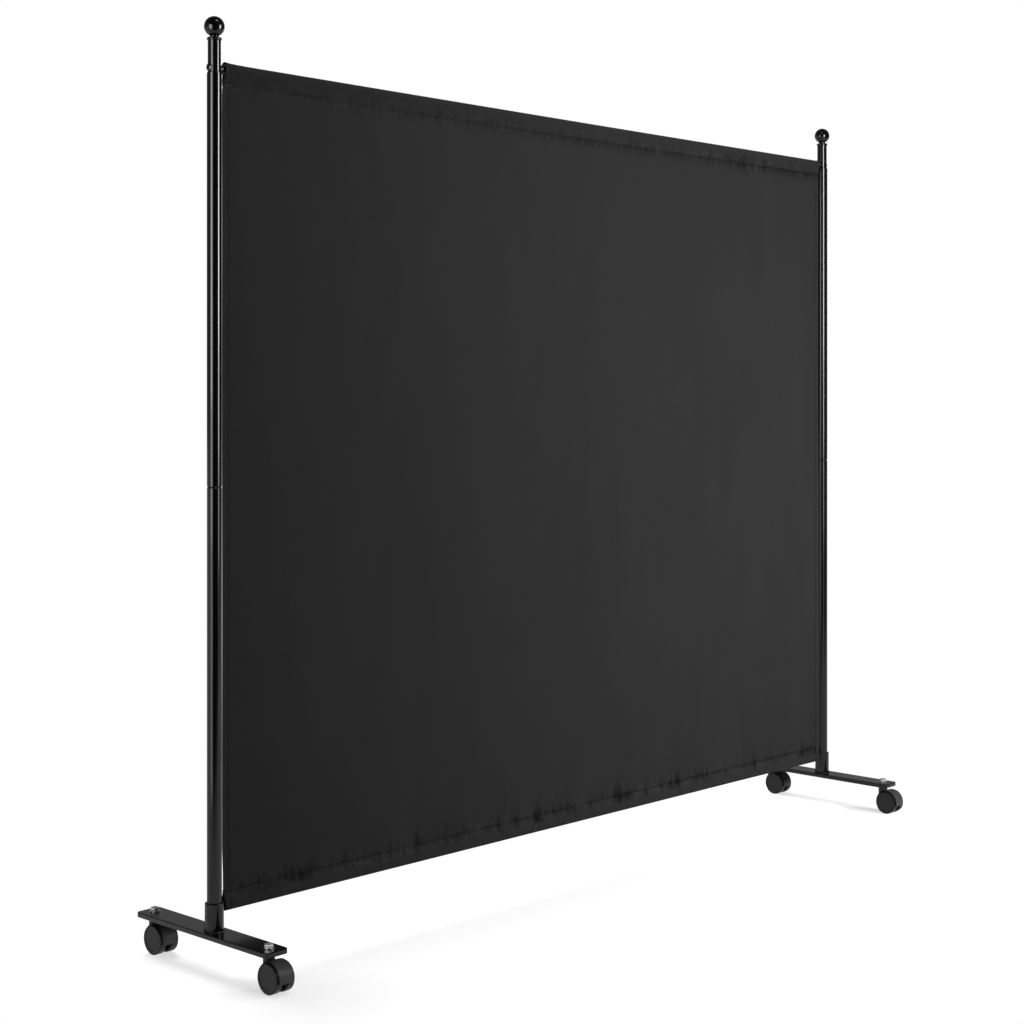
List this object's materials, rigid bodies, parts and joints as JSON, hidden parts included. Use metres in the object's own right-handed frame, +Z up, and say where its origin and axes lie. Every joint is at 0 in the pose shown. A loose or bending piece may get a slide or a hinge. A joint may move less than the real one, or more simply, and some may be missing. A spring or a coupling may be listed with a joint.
{
  "type": "rolling room divider",
  "caption": "Rolling room divider: a fabric panel sleeved on rods between tubular posts with ball finials, on flat feet with swivel casters.",
  "frame": {"origin": "on the floor, under the middle of the panel, midway between the two posts", "axes": "+X along the panel from the left post to the right post, +Y to the rear, +Z up"},
  "size_m": [1.848, 0.4035, 1.6022],
  "materials": {
    "cloth": "matt black woven polyester",
    "rod_steel": "bare drawn steel tube",
    "plug_plastic": "moulded black nylon",
    "bolt_black": "black oxide, oiled",
    "post_black": "gloss black powder coat",
    "foot_black": "satin black powder coat",
    "zinc": "bright zinc plated",
    "axle_steel": "bare steel pin",
    "hood_plastic": "moulded black nylon, satin",
    "wheel_plastic": "moulded black nylon, satin"
  },
  "bodies": {
    "stand": {"cloth_panel": "cloth", "top_rod_left": "rod_steel", "top_rod_right": "rod_steel", "bottom_rod_left": "rod_steel", "bottom_rod_right": "rod_steel", "rod_joiners": "rod_steel", "top_rod_plugs": "plug_plastic", "bottom_rod_plugs": "plug_plastic", "top_spacers": "zinc", "bottom_pins": "zinc", "rod_bolts": "bolt_black", "left_lower_tube": "post_black", "left_upper_tube": "post_black", "left_top_tube": "post_black", "left_finial": "post_black", "left_foot_plate": "foot_black", "left_foot_socket": "foot_black", "right_lower_tube": "post_black", "right_upper_tube": "post_black", "right_top_tube": "post_black", "right_finial": "post_black", "right_foot_plate": "foot_black", "right_foot_socket": "foot_black", "stem_nuts": "zinc", "stem_washers": "zinc", "left_front_stem": "zinc", "left_rear_stem": "zinc", "right_front_stem": "zinc", "right_rear_stem": "zinc"},
    "left_front_caster": {"left_front_hood": "hood_plastic", "left_front_axle": "axle_steel"},
    "left_front_outer": {"left_front_outer_wheel": "wheel_plastic"},
    "left_front_inner": {"left_front_inner_wheel": "wheel_plastic"},
    "left_rear_caster": {"left_rear_hood": "hood_plastic", "left_rear_axle": "axle_steel"},
    "left_rear_outer": {"left_rear_outer_wheel": "wheel_plastic"},
    "left_rear_inner": {"left_rear_inner_wheel": "wheel_plastic"},
    "right_front_caster": {"right_front_hood": "hood_plastic", "right_front_axle": "axle_steel"},
    "right_front_outer": {"right_front_outer_wheel": "wheel_plastic"},
    "right_front_inner": {"right_front_inner_wheel": "wheel_plastic"},
    "right_rear_caster": {"right_rear_hood": "hood_plastic", "right_rear_axle": "axle_steel"},
    "right_rear_outer": {"right_rear_outer_wheel": "wheel_plastic"},
    "right_rear_inner": {"right_rear_inner_wheel": "wheel_plastic"}
  },
  "joints": [
    {"name": "left_front_swivel", "type": "hinge", "parent": "stand", "child": "left_front_caster", "pos_m": [-0.9, -0.144, 0.045], "axis": [0, 0, 1], "continuous": true},
    {"name": "left_front_outer_spin", "type": "hinge", "parent": "left_front_caster", "child": "left_front_outer", "pos_m": [-0.9, -0.162, 0.025], "axis": [1, 0, 0], "continuous": true},
    {"name": "left_front_inner_spin", "type": "hinge", "parent": "left_front_caster", "child": "left_front_inner", "pos_m": [-0.9, -0.162, 0.025], "axis": [1, 0, 0], "continuous": true},
    {"name": "left_rear_swivel", "type": "hinge", "parent": "stand", "child": "left_rear_caster", "pos_m": [-0.9, 0.168, 0.045], "axis": [0, 0, 1], "continuous": true},
    {"name": "left_rear_outer_spin", "type": "hinge", "parent": "left_rear_caster", "child": "left_rear_outer", "pos_m": [-0.9, 0.15, 0.025], "axis": [1, 0, 0], "continuous": true},
    {"name": "left_rear_inner_spin", "type": "hinge", "parent": "left_rear_caster", "child": "left_rear_inner", "pos_m": [-0.9, 0.15, 0.025], "axis": [1, 0, 0], "continuous": true},
    {"name": "right_front_swivel", "type": "hinge", "parent": "stand", "child": "right_front_caster", "pos_m": [0.9, -0.168, 0.045], "axis": [0, 0, 1], "continuous": true},
    {"name": "right_front_outer_spin", "type": "hinge", "parent": "right_front_caster", "child": "right_front_outer", "pos_m": [0.9, -0.186, 0.025], "axis": [1, 0, 0], "continuous": true},
    {"name": "right_front_inner_spin", "type": "hinge", "parent": "right_front_caster", "child": "right_front_inner", "pos_m": [0.9, -0.186, 0.025], "axis": [1, 0, 0], "continuous": true},
    {"name": "right_rear_swivel", "type": "hinge", "parent": "stand", "child": "right_rear_caster", "pos_m": [0.9, 0.144, 0.045], "axis": [0, 0, 1], "continuous": true},
    {"name": "right_rear_outer_spin", "type": "hinge", "parent": "right_rear_caster", "child": "right_rear_outer", "pos_m": [0.9, 0.126, 0.025], "axis": [1, 0, 0], "continuous": true},
    {"name": "right_rear_inner_spin", "type": "hinge", "parent": "right_rear_caster", "child": "right_rear_inner", "pos_m": [0.9, 0.126, 0.025], "axis": [1, 0, 0], "continuous": true}
  ]
}
